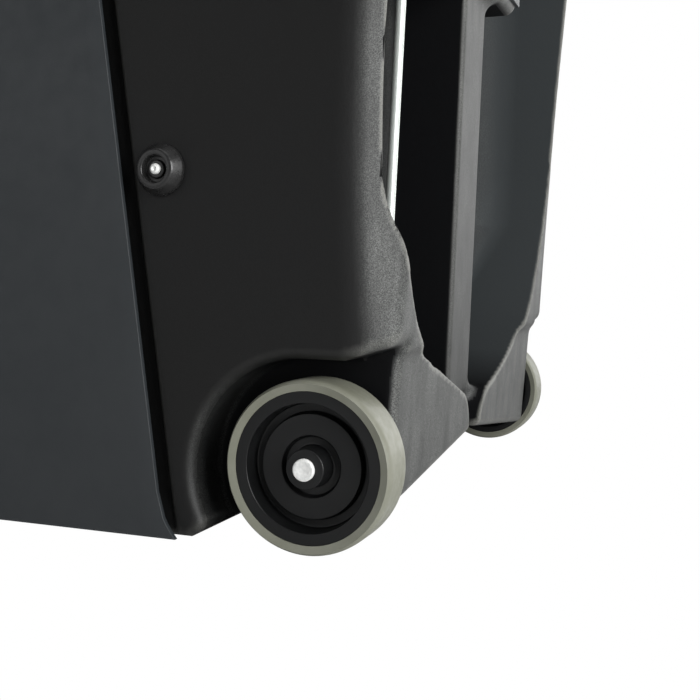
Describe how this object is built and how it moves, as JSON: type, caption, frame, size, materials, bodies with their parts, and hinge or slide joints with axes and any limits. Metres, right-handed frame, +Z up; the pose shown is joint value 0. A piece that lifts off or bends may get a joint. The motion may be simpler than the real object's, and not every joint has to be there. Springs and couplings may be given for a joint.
{
  "type": "tennis ball machine",
  "caption": "Free-standing tennis ball machine: a dark moulded case on rear wheels with a pull-up handle, a lift-off ball hopper and a swivelling launcher inside.",
  "frame": {"origin": "on the floor under the middle of the whole machine", "axes": "+Z up, +Y to the rear where the wheels and handle are, +X to the machine's left, balls leave towards -Y"},
  "size_m": [0.522, 0.3984, 0.69],
  "materials": {
    "moulded_black": "matte",
    "shell_blue_grey": "satin",
    "hub_black": "satin",
    "tyre_grey": "matte",
    "black_rubber": "matte",
    "zinc": "satin",
    "polished_aluminium": "polished",
    "sheet_steel": "satin",
    "motor_steel": "satin",
    "nylon_white": "satin",
    "guide_black": "satin",
    "frame_black": "satin",
    "throw_rubber": "matte",
    "hub_aluminium": "satin",
    "panel_grey": "satin",
    "knob_black": "satin",
    "button_grey": "satin",
    "rocker_red": "gloss",
    "display_dark": "gloss",
    "battery_grey": "matte",
    "board_green": "satin",
    "brass_posts": "satin"
  },
  "bodies": {
    "case": {"rear_body": "moulded_black", "front_shell": "shell_blue_grey", "window_bezel": "moulded_black", "base_plate": "sheet_steel", "base_screws": "zinc", "front_feet": "black_rubber", "top_deck": "moulded_black", "wheel_axle": "zinc", "axle_caps": "zinc", "axle_spacers": "nylon_white", "side_bumpers": "black_rubber", "bumper_screws": "zinc", "lower_handle_guides": "guide_black", "upper_handle_guides": "guide_black", "carousel_bowl": "moulded_black", "carousel_gearmotor": "motor_steel", "drop_tube": "guide_black", "sweep_bearing": "nylon_white", "sweep_gearmotor": "motor_steel", "control_panel": "panel_grey", "display_window": "display_dark", "charge_socket": "guide_black", "battery": "battery_grey", "battery_strap": "sheet_steel", "control_board": "board_green", "board_posts": "brass_posts"},
    "left_wheel": {"left_wheel_hub": "hub_black", "left_wheel_tyre": "tyre_grey"},
    "right_wheel": {"right_wheel_hub": "hub_black", "right_wheel_tyre": "tyre_grey"},
    "handle": {"handle_rods": "polished_aluminium", "handle_grip": "black_rubber", "handle_stops": "guide_black"},
    "carousel_rotor": {"carousel": "nylon_white"},
    "sweep": {"sweep_platform": "frame_black", "pivot_pin": "zinc", "elevation_gearmotor": "motor_steel"},
    "cradle": {"cradle_frame": "frame_black", "ball_guide": "nylon_white", "left_throw_motor": "motor_steel", "right_throw_motor": "motor_steel"},
    "left_thrower": {"left_throw_hub": "hub_aluminium", "left_throw_tyre": "throw_rubber"},
    "right_thrower": {"right_throw_hub": "hub_aluminium", "right_throw_tyre": "throw_rubber"},
    "hopper": {"ball_hopper": "moulded_black"},
    "speed_control": {"speed_knob": "knob_black"},
    "feed_control": {"feed_knob": "knob_black"},
    "spin_control": {"spin_knob": "knob_black"},
    "start_control": {"start_button": "button_grey"},
    "height_control": {"height_button": "button_grey"},
    "sweep_control": {"sweep_button": "button_grey"},
    "power_switch": {"power_rocker": "rocker_red"}
  },
  "joints": [
    {"name": "left_wheel_spin", "type": "hinge", "parent": "case", "child": "left_wheel", "pos_m": [0.2375, 0.13, 0.05], "axis": [1, 0, 0], "continuous": true},
    {"name": "right_wheel_spin", "type": "hinge", "parent": "case", "child": "right_wheel", "pos_m": [-0.2375, 0.13, 0.05], "axis": [1, 0, 0], "continuous": true},
    {"name": "handle_pull", "type": "slide", "parent": "case", "child": "handle", "axis": [0, 0.0349, 0.9994], "range_m": [0, 0.215]},
    {"name": "carousel_turn", "type": "hinge", "parent": "case", "child": "carousel_rotor", "pos_m": [0, -0.042, 0.409], "axis": [0, 0, 1], "continuous": true},
    {"name": "sweep_yaw", "type": "hinge", "parent": "case", "child": "sweep", "pos_m": [0, -0.04, 0.06], "axis": [0, 0, 1], "range_deg": [-15, 15]},
    {"name": "launch_pitch", "type": "hinge", "parent": "sweep", "child": "cradle", "pos_m": [0, -0.04, 0.215], "axis": [-1, 0, 0], "range_deg": [0, 35]},
    {"name": "left_throw_spin", "type": "hinge", "parent": "cradle", "child": "left_thrower", "pos_m": [0.086, -0.04, 0.215], "axis": [0, 0, 1], "continuous": true},
    {"name": "right_throw_spin", "type": "hinge", "parent": "cradle", "child": "right_thrower", "pos_m": [-0.086, -0.04, 0.215], "axis": [0, 0, 1], "continuous": true},
    {"name": "hopper_lift", "type": "slide", "parent": "case", "child": "hopper", "axis": [0, 0, 1], "range_m": [0, 0.25]},
    {"name": "speed_turn", "type": "hinge", "parent": "case", "child": "speed_control", "pos_m": [-0.048, 0.179, 0.403], "axis": [0, -1, 0], "range_deg": [0, 270]},
    {"name": "feed_turn", "type": "hinge", "parent": "case", "child": "feed_control", "pos_m": [0, 0.179, 0.403], "axis": [0, -1, 0], "range_deg": [0, 270]},
    {"name": "spin_turn", "type": "hinge", "parent": "case", "child": "spin_control", "pos_m": [0.048, 0.179, 0.403], "axis": [0, -1, 0], "range_deg": [0, 270]},
    {"name": "start_press", "type": "slide", "parent": "case", "child": "start_control", "axis": [0, -1, 0], "range_m": [0, 0.0015], "stiffness_N_per_m": 400},
    {"name": "height_press", "type": "slide", "parent": "case", "child": "height_control", "axis": [0, -1, 0], "range_m": [0, 0.0015], "stiffness_N_per_m": 400},
    {"name": "sweep_press", "type": "slide", "parent": "case", "child": "sweep_control", "axis": [0, -1, 0], "range_m": [0, 0.0015], "stiffness_N_per_m": 400},
    {"name": "power_rock", "type": "hinge", "parent": "case", "child": "power_switch", "pos_m": [0.052, 0.1775, 0.461], "axis": [1, 0, 0], "range_deg": [-8, 8]}
  ]
}
